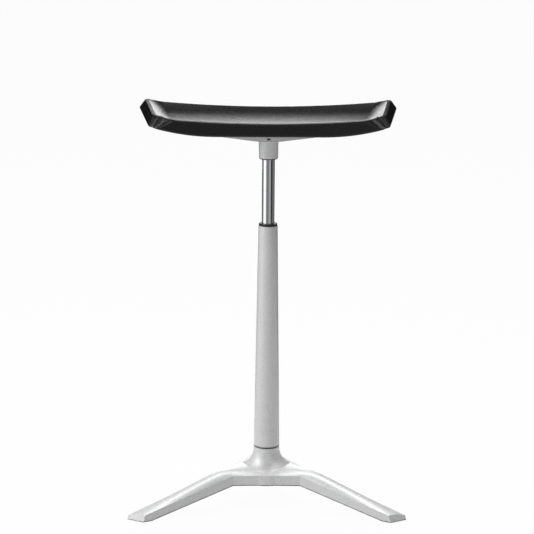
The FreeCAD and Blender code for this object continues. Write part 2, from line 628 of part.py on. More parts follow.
def build_bracket(cylinder_top):
    body = new_body("seat_bracket")
    edge = d.socket_edge
    low = d.socket_under_z
    bore = d.cylinder_dia / 2
    revolve(body, "socket", [
        (0, low), (d.socket_dia / 2 - edge, low), (d.socket_dia / 2, low + edge),
        (d.socket_top_dia / 2, d.wing_under_z), (d.socket_top_dia / 2, d.wing_top_z - 1.0),
        (0, d.wing_top_z - 1.0)], {1: edge})
    sections = [
        wing_section(body, "wing_section_1", -d.wing_half, d.wing_tip_depth / 2, d.wing_tip_under_z),
        wing_section(body, "wing_section_2", -d.wing_flat_half, d.wing_depth / 2, d.wing_under_z),
        wing_section(body, "wing_section_3", d.wing_flat_half, d.wing_depth / 2, d.wing_under_z),
        wing_section(body, "wing_section_4", d.wing_half, d.wing_tip_depth / 2, d.wing_tip_under_z)]
    loft(body, "wings", sections)
    cone_low = low + d.taper_lead
    cone_high = cone_low + d.taper_length
    top_r = d.taper_top_dia / 2
    revolve(body, "taper_bore", [
        (0, low - 1.0), (bore, low - 1.0), (bore, cone_low), (top_r, cone_high),
        (top_r, d.lever_well_floor + 1.0), (0, d.lever_well_floor + 1.0)], None, "PartDesign::Groove")
    slot = d.lever_slot_width / 2
    front = -(d.wing_depth / 2 - d.bracket_wall - 2.0)
    plan = outline(body, "slot_outline", "XY_Plane",
                   rectangle(-slot, slot, front, d.wing_depth / 2 + 5.0), None, d.wing_top_z)
    pocket(body, "lever_slot", plan, d.wing_top_z - d.lever_slot_floor)
    plan = outline(body, "well_outline", "XY_Plane",
                   rectangle(-slot, slot, -d.lever_well_half, d.lever_well_half), None, d.wing_top_z)
    pocket(body, "lever_well", plan, d.wing_top_z - d.lever_well_floor)
    inner = slot + d.slot_wall
    reach = d.screw_x - d.screw_boss_dia / 2
    for name, sign in (("left", -1), ("right", 1)):
        near_half = d.wing_depth / 2 - d.bracket_wall - 2.0
        far_half = d.wing_tip_depth / 2 - d.bracket_wall + 3.0
        corners = [(sign * inner, -near_half), (sign * reach, -far_half), (sign * reach, far_half),
                   (sign * inner, near_half)]
        plan = outline(body, f"hollow_outline_{name}", "XY_Plane", corners, None, d.wing_top_z)
        pocket(body, f"hollow_{name}", plan, d.wing_top_z - d.wing_tip_under_z - d.bracket_floor + 1.2)
    peep = outline(body, "peep_outline", "XZ_Plane", rectangle(
        -d.peep_width / 2, d.peep_width / 2, d.peep_z - d.peep_height / 2, d.peep_z + d.peep_height / 2),
        None, d.wing_depth / 2 + 1.0)
    pocket(body, "peep_slot", peep, d.bracket_wall + 5.0)
    pivot = new_sketch(body, "pivot_circle", "YZ_Plane")
    add_circle(pivot, d.pivot_y, d.pivot_z, d.pivot_dia / 2)
    pocket(body, "pivot_hole", pivot, 2 * inner + 0.2, middle=True)
    holes = new_sketch(body, "screw_circles", "XY_Plane", d.wing_top_z)
    sinks = new_sketch(body, "sink_circles", "XY_Plane", d.wing_tip_under_z - 6.0)
    for x in (-d.screw_x, d.screw_x):
        for y in (-d.screw_y, d.screw_y):
            add_circle(holes, x, y, d.screw_dia / 2 + d.screw_play)
            add_circle(sinks, x, y, d.screw_head_dia / 2 + d.screw_play)
    pocket(body, "screw_holes", holes, d.wing_top_z - d.wing_under_z)
    pocket(body, "screw_sinks", sinks, d.screw_sink + 4.0, reverse=True)
    return body


def build_screws():
    """One screw about the Z axis, moved to its hole and mirrored into the other three."""
    seat = d.wing_tip_under_z - 2.0 + d.screw_sink
    low = seat - d.screw_head_height
    head = d.screw_head_dia / 2
    shank = d.screw_dia / 2
    high = d.wing_top_z + d.screw_reach
    body = turned("screw", [
        (0, low), (head - 2.0, low), (head, seat - 0.8), (head, seat), (shank, seat), (shank, high - 0.8),
        (shank - 0.8, high), (0, high)], {1: 4.0})
    hex_socket(body, "screw_socket", d.screw_hex, d.screw_hex_depth, low, True)
    bind(body, "Placement.Base.x", d.screw_x)
    bind(body, "Placement.Base.y", d.screw_y)
    return mirrored_four("bracket_screws", body)


def mirrored_four(label, body):
    """A piece and its mirror images across both upright planes, as one group of solids."""
    across = doc.addObject("Part::Mirroring", label + "_across")
    across.Source = body
    across.Normal = FreeCAD.Vector(1, 0, 0)
    pair = doc.addObject("Part::Compound", label + "_pair")
    pair.Links = [body, across]
    along = doc.addObject("Part::Mirroring", label + "_along")
    along.Source = pair
    along.Normal = FreeCAD.Vector(0, 1, 0)
    group = doc.addObject("Part::Compound", label)
    group.Links = [pair, along]
    group.Label = label
    return group


# Release lever

def build_lever(pin_top):
    body = new_body("release_lever")
    low = pin_top + d.lever_gap
    high = low + d.lever_thick
    eye = d.lever_eye / 2
    bend = d.lever_bend_y
    run = d.lever_drop_run
    drop = d.lever_drop
    side = outline(body, "lever_side", "YZ_Plane", [
        (d.lever_nose_y, low), (bend, low), (bend + run, low - drop), (d.lever_end_y, low - drop),
        (d.lever_end_y, high - drop), (bend + run + 1.0, high - drop), (bend + 1.0, high),
        (d.pivot_y + eye, high), (d.pivot_y + eye, d.pivot_z), (d.pivot_y - eye, d.pivot_z),
        (d.pivot_y - eye, high), (d.lever_nose_y, high)], {8: eye})
    pad(body, "lever_strip", side, d.lever_width, middle=True)
    eye_hole = new_sketch(body, "eye_circle", "YZ_Plane")
    add_circle(eye_hole, d.pivot_y, d.pivot_z, d.pivot_dia / 2 + d.pivot_play)
    pocket(body, "eye_hole", eye_hole, d.lever_width + 2.0, middle=True)
    pin = new_body("lever_pin")
    circle = new_sketch(pin, "pin_circle", "YZ_Plane")
    add_circle(circle, d.pivot_y, d.pivot_z, d.pivot_dia / 2)
    pad(pin, "pin_rod", circle, d.lever_slot_width + 2 * d.slot_wall, middle=True)
    grip = new_body("lever_grip")
    strip_mid = low - drop + d.lever_thick / 2
    half = d.grip_width / 2
    far = d.lever_end_y + d.grip_overhang
    near = far - d.grip_length
    cut = d.grip_corner
    plan = outline(grip, "grip_outline", "XY_Plane", [
        (-half, near), (half, near), (half, far - cut), (half - cut, far), (-half + cut, far),
        (-half, far - cut)], {2: cut, 4: cut}, strip_mid - d.grip_thick / 2)
    pad(grip, "grip_block", plan, d.grip_thick)
    mouth = outline(grip, "grip_mouth", "XZ_Plane", rectangle(
        -d.lever_width / 2, d.lever_width / 2, low - drop, high - drop), None, -(near - 1.0))
    pocket(grip, "grip_socket", mouth, d.lever_end_y - near + 1.0, reverse=False)


# Seat

def seat_section(body, name, y, draw, share, inset):
    """Half sections mirrored about the middle: flat below, bent up to the ends, rim and dish above."""
    edge_x = d.seat_edge_half + d.seat_edge_taper * y - inset
    edge_z = d.seat_edge_z + d.seat_edge_rise * y
    top_x = d.seat_top_half + d.seat_top_taper * y - draw * d.seat_corner_draw - inset
    top_z = d.seat_top_z + d.seat_top_rise * y - inset
    middle_z = d.seat_middle_z + d.seat_middle_rise * y - inset
    rim_x = top_x - d.rim_width
    crease_x = d.crease_half + d.crease_taper * y - 0.5 * draw * d.seat_corner_draw
    crease_z = d.crease_z + d.seat_top_rise * y - inset - share * d.wing_dish_depth
    dish_z = middle_z - share * d.dish_depth
    under = d.seat_under_z + inset
    turn_x = edge_x - d.seat_turn_run
    run = turn_x - d.seat_under_flat
    turn_z = under + d.seat_bend_radius - root(d.seat_bend_radius * d.seat_bend_radius - run * run)
    rise = crease_z - dish_z
    dish_radius = (crease_x * crease_x + rise * rise) / (2 * rise)
    flat = d.seat_under_flat
    corners = [
        (-flat, under), (flat, under), (turn_x, turn_z), (edge_x, edge_z), (top_x, top_z), (rim_x, top_z),
        (crease_x, crease_z), (0, dish_z), (-crease_x, crease_z), (-rim_x, top_z), (-top_x, top_z),
        (-edge_x, edge_z), (-turn_x, turn_z)]
    bend = d.seat_bend_radius
    arcs = {1: bend, 6: -dish_radius, 7: -dish_radius, 12: bend}
    return outline(body, name, "XZ_Plane", corners, arcs, -y)


def build_seat():
    body = new_body("seat_pad")
    half = d.seat_depth / 2
    rim = half - d.seat_round - d.rim_width
    stations = [(-half, 1.0, 0.0, d.seat_round), (-(half - d.seat_round), 0.87, 0.0, 0.0),
                (-rim, 0.65, 0.0, 0.0)]
    for share in (-0.84, -0.56, 0.0, 0.56, 0.84):
        draw = max(0.0, (-share * 81 - 35) / 57) ** 2
        stations.append((share * rim, draw, 1 - abs(share) ** 2.5, 0.0))
    stations += [(rim, 0.0, 0.0, 0.0), (half - d.seat_round, 0.0, 0.0, 0.0), (half, 0.0, 0.0, d.seat_round)]
    sections = []
    for number, (y, draw, share, inset) in enumerate(stations, 1):
        sections.append(seat_section(body, f"seat_section_{number}", y, draw, share, inset))
    loft(body, "seat_foam", sections)
    plate = outline(body, "plate_space", "XY_Plane", plate_corners(), plate_arcs(), d.plate_z)
    pocket(body, "plate_hollow", plate, d.plate_thick, reverse=True)
    holes = new_sketch(body, "insert_spaces", "XY_Plane", d.seat_under_z - 1.0)
    for x in (-d.screw_x, d.screw_x):
        for y in (-d.screw_y, d.screw_y):
            add_circle(holes, x, y, d.insert_dia / 2)
    pocket(body, "insert_hollows", holes, d.plate_z - d.seat_under_z + 1.0, reverse=True)
    return body


def plate_corners():
    wide = d.plate_width / 2
    deep = d.plate_depth / 2
    cut = d.plate_corner
    return [(-wide + cut, -deep), (wide - cut, -deep), (wide, -deep + cut), (wide, deep - cut),
            (wide - cut, deep), (-wide + cut, deep), (-wide, deep - cut), (-wide, -deep + cut)]


def plate_arcs():
    return {1: d.plate_corner, 3: d.plate_corner, 5: d.plate_corner, 7: d.plate_corner}


def build_seat_plate():
    body = new_body("seat_plate")
    plan = outline(body, "plate_outline", "XY_Plane", plate_corners(), plate_arcs(), d.plate_z)
    for x in (-d.screw_x, d.screw_x):
        for y in (-d.screw_y, d.screw_y):
            add_circle(plan, x, y, d.screw_dia / 2)
    pad(body, "plate_blank", plan, d.plate_thick)
    insert = ring("insert", d.screw_dia / 2, d.insert_dia / 2, d.seat_under_z, d.plate_z)
    bind(insert, "Placement.Base.x", d.screw_x)
    bind(insert, "Placement.Base.y", d.screw_y)
    mirrored_four("seat_inserts", insert)


NODES = [
    "base_casting", "glide_rear", "glide_left", "glide_right", "tie_bolt", "tie_washer", "spacer_ring",
    "foot_plug", "column_tube", "guide_bush", "rod_seat_plate", "lower_race", "bearing_balls",
    "bearing_cage", "upper_race", "piston_rod", "retaining_clip", "clip_washer", "rubber_buffer", "piston",
    "piston_ring", "piston_nut", "gas_cylinder", "rod_guide", "rod_seal", "valve_pin", "seat_bracket",
    "bracket_screws", "release_lever", "lever_pin", "lever_grip", "seat_pad", "seat_plate", "seat_inserts",
]


def check_and_write():
    doc.recompute()
    for thing in doc.Objects:
        if "Invalid" in thing.State or "Error" in thing.State:
            raise RuntimeError(f"{thing.Name} failed: {thing.State}")
    os.makedirs("parts", exist_ok=True)
    for label in NODES:
        shape = doc.getObjectsByLabel(label)[0].Shape
        if shape.isNull() or not shape.isValid():
            raise RuntimeError(f"{label} has no valid shape")
        shape.exportStep(f"parts/{label}.step")
        box = shape.BoundBox
        print(f"{label}: {len(shape.Solids)} solid, volume {shape.Volume:.1f}, "
              f"x {box.XMin:.1f} {box.XMax:.1f} y {box.YMin:.1f} {box.YMax:.1f} z {box.ZMin:.1f} {box.ZMax:.1f}")


build_base()
build_glides()
build_column_joint()
build_column()
rod_shoulder = build_bearing()
build_rod(rod_shoulder)
build_piston()
top_of_cylinder, top_of_pin = build_cylinder()
build_bracket(top_of_cylinder)
build_screws()
build_lever(top_of_pin)
build_seat()
build_seat_plate()
check_and_write()
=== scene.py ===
import math

import bmesh
import bpy
from mathutils import Matrix, Vector


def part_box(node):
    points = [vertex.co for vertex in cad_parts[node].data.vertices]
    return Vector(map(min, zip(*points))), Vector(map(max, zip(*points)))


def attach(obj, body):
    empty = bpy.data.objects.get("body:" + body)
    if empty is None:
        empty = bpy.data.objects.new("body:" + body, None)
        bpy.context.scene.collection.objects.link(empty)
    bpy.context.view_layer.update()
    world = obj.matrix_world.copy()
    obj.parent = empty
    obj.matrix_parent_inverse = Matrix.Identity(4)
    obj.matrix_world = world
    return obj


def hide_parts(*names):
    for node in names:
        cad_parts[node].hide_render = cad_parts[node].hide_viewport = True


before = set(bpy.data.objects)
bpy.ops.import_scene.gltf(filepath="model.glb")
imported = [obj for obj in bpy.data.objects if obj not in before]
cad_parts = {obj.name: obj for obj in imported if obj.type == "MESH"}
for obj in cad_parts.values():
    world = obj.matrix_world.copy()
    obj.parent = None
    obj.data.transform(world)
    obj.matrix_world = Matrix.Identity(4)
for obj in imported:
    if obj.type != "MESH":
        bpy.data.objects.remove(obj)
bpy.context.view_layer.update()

# Perch stool, in metres: the column's axis is Z, the floor is z = 0 and the seat's front looks towards -Y.

MM = 0.001


# Finishes

def from_hex(text):
    """Linear colour with alpha from a colour written as sRGB hex."""
    parts = [int(text[place:place + 2], 16) / 255 for place in (1, 3, 5)]
    linear = [part / 12.92 if part <= 0.04045 else ((part + 0.055) / 1.055) ** 2.4 for part in parts]
    return (*linear, 1.0)


def add(tree, kind, settings=None, links=None):
    """Adds a node to a tree. settings fill its sockets and properties, links feed its inputs."""
    made = tree.nodes.new(kind)
    for name, value in (settings or {}).items():
        if isinstance(name, str) and hasattr(made, name):
            setattr(made, name, value)
        else:
            made.inputs[name].default_value = value
    for name, source in (links or {}).items():
        tree.links.new(source, made.inputs[name])
    return made


def new_finish(name):
    """Empty material and its tree."""
    finish = bpy.data.materials.new(name)
    finish.use_nodes = True
    finish.node_tree.nodes.clear()
    return finish, finish.node_tree


def close_finish(finish, surface):
    """Sends a surface to the material's output."""
    tree = finish.node_tree
    add(tree, "ShaderNodeOutputMaterial", links={"Surface": surface.outputs["BSDF"]})
    return finish


def place_of(tree, stretch=(1, 1, 1)):
    """The point on the piece, in metres in the stool's frame, with each axis stretched."""
    spot = add(tree, "ShaderNodeTexCoord")
    mapping = add(tree, "ShaderNodeMapping", links={"Vector": spot.outputs["Object"]})
    mapping.inputs["Scale"].default_value = stretch
    return mapping.outputs["Vector"]


def per_size(size_mm):
    """Texture scale at which a pattern's step has this size in millimetres."""
    return 1000 / size_mm


def per_wave(size_mm):
    """The same for a wave texture, whose bands repeat every 2 pi over 20 times its scale."""
    return per_size(size_mm) * 2 * math.pi / 20


def silver_powder_coat(name, mottle_mm, edge_shade_mm, dark, light):
    # Textured silver powder coat: aluminium flake under a fine orange peel, so highlights are broad and
    # softly broken. The real grain is 0.3 mm; it is drawn 1.6 mm wide so that it shows at all. Along the
    # lower edges, within the given distance of them in millimetres, painted shade darkens the colour to a
    # faint dark line, standing in for the shade that falls under them.
    finish, tree = new_finish(name)
    place = place_of(tree)
    mottle = add(tree, "ShaderNodeTexNoise", {"Scale": per_size(mottle_mm), "Detail": 3.0},
                 {"Vector": place})
    peel = add(tree, "ShaderNodeTexNoise", {"Scale": per_size(1.6), "Detail": 2.0, "Roughness": 0.6},
               {"Vector": place})
    both = add(tree, "ShaderNodeMath", {"operation": "MULTIPLY_ADD", 1: 0.45},
               {0: mottle.outputs["Fac"], 2: peel.outputs["Fac"]})
    grain = add(tree, "ShaderNodeMapRange", {"From Min": 0.52, "From Max": 0.92},
                {"Value": both.outputs["Value"]})
    tone = add(tree, "ShaderNodeMix", {"data_type": "RGBA", 6: from_hex(dark), 7: from_hex(light)},
               {0: grain.outputs["Result"]})
    gloss = add(tree, "ShaderNodeMapRange", {"To Min": 0.38, "To Max": 0.52}, {"Value": peel.outputs["Fac"]})
    soft_edge = add(tree, "ShaderNodeBevel", {"samples": 6, "Radius": 0.9 * MM})
    bump = add(tree, "ShaderNodeBump", {"Strength": 0.45, "Distance": 0.14 * MM},
               {"Height": peel.outputs["Fac"], "Normal": soft_edge.outputs["Normal"]})
    # Mask for the painted shade along the lower edges: near a lower edge the rounded normal dips; on the
    # underside itself the face's own one points down.
    wide_edge = add(tree, "ShaderNodeBevel", {"samples": 6, "Radius": edge_shade_mm * MM})
    rounded = add(tree, "ShaderNodeSeparateXYZ", links={"Vector": wide_edge.outputs["Normal"]})
    face = add(tree, "ShaderNodeNewGeometry")
    flat = add(tree, "ShaderNodeSeparateXYZ", links={"Vector": face.outputs["True Normal"]})
    dips = add(tree, "ShaderNodeMapRange", {"From Min": -0.08, "From Max": -0.24},
               {"Value": rounded.outputs["Z"]})
    on_side = add(tree, "ShaderNodeMath", {"operation": "GREATER_THAN", 1: -0.9}, {0: flat.outputs["Z"]})
    # Painted shade: where the mask holds, the coat's colour is darkened to #242425 as a dark line under the
    # lower edges.
    painted_edge_shade = add(tree, "ShaderNodeMath", {"operation": "MULTIPLY"},
               {0: dips.outputs["Result"], 1: on_side.outputs["Value"]})
    coat = add(tree, "ShaderNodeMix", {"data_type": "RGBA", 7: from_hex("#242425")},
               {0: painted_edge_shade.outputs["Value"], 6: tone.outputs[2]})
    surface = add(tree, "ShaderNodeBsdfPrincipled", {"Metallic": 0.22},
                  {"Base Color": coat.outputs[2], "Roughness": gloss.outputs["Result"],
                   "Normal": bump.outputs["Normal"]})
    return close_finish(finish, surface)


def hard_chrome():
    # Hard chrome on a centreless-ground tube: a mirror with hair-fine rings that draw highlights out
    # sideways. The rings are 0.05 mm apart in life and are drawn 0.5 mm apart.
    finish, tree = new_finish("ground_hard_chrome")
    rings = add(tree, "ShaderNodeTexNoise", {"Scale": 1.0, "Detail": 2.0},
                {"Vector": place_of(tree, (30, 30, per_size(0.5)))})
    haze = add(tree, "ShaderNodeTexNoise", {"Scale": per_size(14.0), "Detail": 3.0},
               {"Vector": place_of(tree)})
    gloss = add(tree, "ShaderNodeMapRange", {"To Min": 0.06, "To Max": 0.13}, {"Value": haze.outputs["Fac"]})
    bump = add(tree, "ShaderNodeBump", {"Strength": 0.12, "Distance": 0.01 * MM},
               {"Height": rings.outputs["Fac"]})
    surface = add(tree, "ShaderNodeBsdfPrincipled", {"Metallic": 1.0, "Base Color": from_hex("#cfd0d2")},
                  {"Roughness": gloss.outputs["Result"], "Normal": bump.outputs["Normal"]})
    return close_finish(finish, surface)


def zinc_plate():
    # Bright zinc plate on pressed steel: bluish grey with a cloudy bloom and fine drawing lines.
    finish, tree = new_finish("zinc_plated_steel")
    cloud = add(tree, "ShaderNodeTexNoise", {"Scale": per_size(6.0), "Detail": 4.0},
                {"Vector": place_of(tree)})
    drawn = add(tree, "ShaderNodeTexNoise", {"Scale": 1.0, "Detail": 2.0},
                {"Vector": place_of(tree, (per_size(0.4), 40, per_size(0.4)))})
    tone = add(tree, "ShaderNodeMix", {"data_type": "RGBA", 6: from_hex("#8f9499"), 7: from_hex("#b9bcc0")},
               {0: cloud.outputs["Fac"]})
    gloss = add(tree, "ShaderNodeMapRange", {"To Min": 0.28, "To Max": 0.46}, {"Value": cloud.outputs["Fac"]})
    bump = add(tree, "ShaderNodeBump", {"Strength": 0.2, "Distance": 0.03 * MM},
               {"Height": drawn.outputs["Fac"]})
    surface = add(tree, "ShaderNodeBsdfPrincipled", {"Metallic": 0.95},
                  {"Base Color": tone.outputs[2], "Roughness": gloss.outputs["Result"],
                   "Normal": bump.outputs["Normal"]})
    return close_finish(finish, surface)


def bearing_steel():
    # Hardened and ground chromium steel: darker than chrome, near mirror, with faint turning rings, which
    # are 0.1 mm apart in life and are drawn 3.8 mm apart.
    finish, tree = new_finish("ground_bearing_steel")
    rings = add(tree, "ShaderNodeTexWave",
                {"wave_type": "RINGS", "rings_direction": "Z", "Scale": per_wave(3.8), "Distortion": 0.4},
                {"Vector": place_of(tree)})
    gloss = add(tree, "ShaderNodeMapRange", {"To Min": 0.12, "To Max": 0.22}, {"Value": rings.outputs["Fac"]})
    surface = add(tree, "ShaderNodeBsdfPrincipled", {"Metallic": 1.0, "Base Color": from_hex("#a9aaac")},
                  {"Roughness": gloss.outputs["Result"]})
    return close_finish(finish, surface)


def turned_aluminium():
    # Lathe-turned aluminium, bare: pale, with the tool's spiral, which is 0.2 mm apart in life and is drawn
    # 2.5 mm apart.
    finish, tree = new_finish("turned_aluminium")
    rings = add(tree, "ShaderNodeTexWave",
                {"wave_type": "BANDS", "bands_direction": "Z", "Scale": per_wave(2.5), "Distortion": 0.2},
                {"Vector": place_of(tree)})
    bump = add(tree, "ShaderNodeBump", {"Strength": 0.25, "Distance": 0.02 * MM},
               {"Height": rings.outputs["Fac"]})
    surface = add(tree, "ShaderNodeBsdfPrincipled",
                  {"Metallic": 1.0, "Roughness": 0.32, "Base Color": from_hex("#c9cacb")},
                  {"Normal": bump.outputs["Normal"]})
    return close_finish(finish, surface)


def acetal():
    # Turned black acetal: smooth and slightly waxy, with soft grey highlights.
    finish, tree = new_finish("black_acetal")
    film = add(tree, "ShaderNodeTexNoise", {"Scale": per_size(3.0), "Detail": 3.0},
               {"Vector": place_of(tree)})
    gloss = add(tree, "ShaderNodeMapRange", {"To Min": 0.3, "To Max": 0.44}, {"Value": film.outputs["Fac"]})
    bump = add(tree, "ShaderNodeBump", {"Strength": 0.1, "Distance": 0.03 * MM},
               {"Height": film.outputs["Fac"]})
    surface = add(tree, "ShaderNodeBsdfPrincipled", {"IOR": 1.48, "Base Color": from_hex("#141414")},
                  {"Roughness": gloss.outputs["Result"], "Normal": bump.outputs["Normal"]})
    return close_finish(finish, surface)


def glass_filled_nylon():
    # Black glass-filled nylon, moulded in a spark-eroded tool: matt, with an even grain, which is 0.1 mm wide
    # in life and is drawn 0.8 mm wide.
    finish, tree = new_finish("black_moulded_nylon")
    place = place_of(tree)
    grain = add(tree, "ShaderNodeTexNoise", {"Scale": per_size(0.8), "Detail": 3.0, "Roughness": 0.7},
                {"Vector": place})
    scuff = add(tree, "ShaderNodeTexNoise", {"Scale": per_size(9.0), "Detail": 5.0}, {"Vector": place})
    tone = add(tree, "ShaderNodeMix", {"data_type": "RGBA", 6: from_hex("#161617"), 7: from_hex("#232324")},
               {0: scuff.outputs["Fac"]})
    bump = add(tree, "ShaderNodeBump", {"Strength": 0.5, "Distance": 0.06 * MM},
               {"Height": grain.outputs["Fac"]})
    surface = add(tree, "ShaderNodeBsdfPrincipled", {"IOR": 1.53, "Roughness": 0.55},
                  {"Base Color": tone.outputs[2], "Normal": bump.outputs["Normal"]})
    return close_finish(finish, surface)


def nitrile_rubber():
    # Moulded black nitrile rubber: dull, with a dusty bloom in soft patches.
    finish, tree = new_finish("black_nitrile_rubber")
    bloom = add(tree, "ShaderNodeTexNoise", {"Scale": per_size(4.0), "Detail": 4.0},
                {"Vector": place_of(tree)})
    tone = add(tree, "ShaderNodeMix", {"data_type": "RGBA", 6: from_hex("#0f0f0f"), 7: from_hex("#1f1f1e")},
               {0: bloom.outputs["Fac"]})
    surface = add(tree, "ShaderNodeBsdfPrincipled",
                  {"IOR": 1.52, "Roughness": 0.78, "Sheen Weight": 0.1, "Sheen Roughness": 0.5},
                  {"Base Color": tone.outputs[2]})
    return close_finish(finish, surface)


def foam_skin():
    # Self-skinned polyurethane foam, moulded against a tool with a fine pebble grain: satin black, with
    # pebbles 0.7 mm wide in life, drawn 2.6 mm wide so that they show, and the flow marks of the pour.
    finish, tree = new_finish("pebbled_polyurethane_skin")
    place = place_of(tree)
    pebbles = add(tree, "ShaderNodeTexVoronoi",
                  {"feature": "SMOOTH_F1", "Scale": per_size(2.6), "Smoothness": 0.5}, {"Vector": place})
    fine = add(tree, "ShaderNodeTexNoise", {"Scale": per_size(1.1), "Detail": 3.0}, {"Vector": place})
    flow = add(tree, "ShaderNodeTexNoise", {"Scale": per_size(45.0), "Detail": 3.0}, {"Vector": place})
    tone = add(tree, "ShaderNodeMix", {"data_type": "RGBA", 6: from_hex("#0d0d0e"), 7: from_hex("#151516")},
               {0: flow.outputs["Fac"]})
    gloss = add(tree, "ShaderNodeMapRange", {"To Min": 0.22, "To Max": 0.33}, {"Value": fine.outputs["Fac"]})
    height = add(tree, "ShaderNodeMath", {"operation": "MULTIPLY_ADD", 1: 0.35},
                 {0: fine.outputs["Fac"], 2: pebbles.outputs["Distance"]})
    bump = add(tree, "ShaderNodeBump", {"Strength": 0.45, "Distance": 0.35 * MM},
               {"Height": height.outputs["Value"]})
    surface = add(tree, "ShaderNodeBsdfPrincipled", {"IOR": 1.5, "Specular IOR Level": 0.35},
                  {"Base Color": tone.outputs[2], "Roughness": gloss.outputs["Result"],
                   "Normal": bump.outputs["Normal"]})
    return close_finish(finish, surface)


def finish_nodes():
    """Gives each CAD piece that stays in view the finish of the real one."""
    nylon = glass_filled_nylon()
    zinc = zinc_plate()
    ground = bearing_steel()
    turned = turned_aluminium()
    rubber = nitrile_rubber()
    chrome = hard_chrome()
    base = silver_powder_coat("silver_powder_coat_on_base", 5.0, 3.6, "#cfd0d0", "#e3e3e3")
    bracket = silver_powder_coat("silver_powder_coat_on_bracket", 4.0, 1.0, "#d2d3d3", "#e6e6e6")
    tube = silver_powder_coat("silver_powder_coat_on_tube", 3.5, 4.5, "#cccccc", "#dddddd")
    waxy = acetal()
    skin = foam_skin()
    finishes = {
        "base_casting": base, "seat_bracket": bracket, "column_tube": tube, "guide_bush": waxy,
        "spacer_ring": nylon, "glide_rear": nylon, "glide_left": nylon, "glide_right": nylon,
        "lever_grip": nylon, "bearing_cage": nylon, "tie_bolt": zinc, "tie_washer": zinc, "foot_plug": zinc,
        "rod_seat_plate": zinc, "retaining_clip": zinc, "clip_washer": zinc, "piston_nut": zinc,
        "bracket_screws": zinc, "release_lever": zinc, "lever_pin": zinc, "seat_plate": zinc,
        "seat_inserts": zinc, "lower_race": ground, "upper_race": ground, "bearing_balls": ground,
        "valve_pin": ground, "piston": turned, "rod_guide": turned, "rubber_buffer": rubber,
        "piston_ring": rubber, "rod_seal": rubber, "piston_rod": chrome, "gas_cylinder": chrome,
        "seat_pad": skin,
    }
    for name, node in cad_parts.items():
        node.data.materials.clear()
        node.data.materials.append(finishes[name])
    return nylon, skin


# Seat

# In millimetres. A splay is how much farther out a line of the seat lies for each millimetre towards the
# back, and a climb is how much higher.
SEAT_DEPTH = 184.0
UNDER_Z = 669.6
UNDER_FLAT_HALF = 90.0
BEND = 390.0

# The wall's widest line, and the outer edge of the rim on top.
EDGE_HALF, EDGE_SPLAY = 216.2, 0.142
EDGE_Z, EDGE_CLIMB = 688.0, 0.03
EDGE_TURN = 16.0
TOP_HALF, TOP_SPLAY = 206.7, 0.125
TOP_Z, TOP_CLIMB = 705.0, 0.025
RIM_WIDTH = 7.0

# The crease where the dish meets its sloped ends. Both sink between the front and back rims.
CREASE_HALF, CREASE_SPLAY = 170.0, 0.2
CREASE_Z, CREASE_SINK = 700.5, 11.0
DISH_Z, DISH_CLIMB, DISH_SINK = 693.7, 0.012, 8.5
SINK_POWER = 2.5

# Radii of the edges, and of the plan's corners at the wall's widest line and at the top.
END_ROUND = 3.0
EDGE_ROUND = 2.5
TOP_ROUND = 1.6
RIM_ROUND = 1.2
FRONT_CORNERS = (17.0, 36.0)
BACK_CORNERS = (8.0, 15.0)

# How finely the skin is divided, and where its edges are crisp.
ARC_STEPS = 4
DISH_STEPS = 26
SLOPE_STEPS = 9
STATION_STEP = 4.0
PAST_RIM = (0.0, 3.0, 6.0, 9.0)
CREASE_FADE = 5.0
TURN_COLUMNS = 6
WELD = 0.01
SHARP_DEGREES = 24


def rounded_path(corners, steps):
    """Points along straight runs whose corners are arcs. Each corner is (x, z, radius, points on its run)."""
    path = []
    last = len(corners) - 1
    for number, (x, z, radius, run) in enumerate(corners):
        here = Vector((x, z))
        if number not in (0, last) and radius > 0:
            back = (Vector(corners[number - 1][:2]) - here).normalized()
            ahead = (Vector(corners[number + 1][:2]) - here).normalized()
            turn = math.pi - back.angle(ahead)
            cut = radius * math.tan(turn / 2)
            middle = (back + ahead).normalized() * (radius / math.cos(turn / 2))
            start, end = here + back * cut, here + ahead * cut
            for step in range(steps + 1):
                share = step / steps
                chord = start.lerp(end, share) - here - middle
                path.append(here + middle + chord.normalized() * radius)
        else:
            path.append(here)
        if number < last:
            ahead_end = Vector(corners[number + 1][:2])
            path += [here.lerp(ahead_end, step / (run + 1)) for step in range(1, run + 1)]
    return path


def corner_turned(x, y, wall_x, radius):
    """Turns a square plan corner into a round one: squares about the corner's centre become circles."""
    half = SEAT_DEPTH / 2
    u = (x - (wall_x - radius)) / radius
    v = (abs(y) - (half - radius)) / radius
    if u <= 0 or v <= 0:
        return x, y
    reach = max(u, v)
    angle = math.pi / 4 * (v / u if v < u else 2 - u / v)
    return (wall_x - radius + radius * reach * math.cos(angle),
            math.copysign(half - radius + radius * reach * math.sin(angle), y))


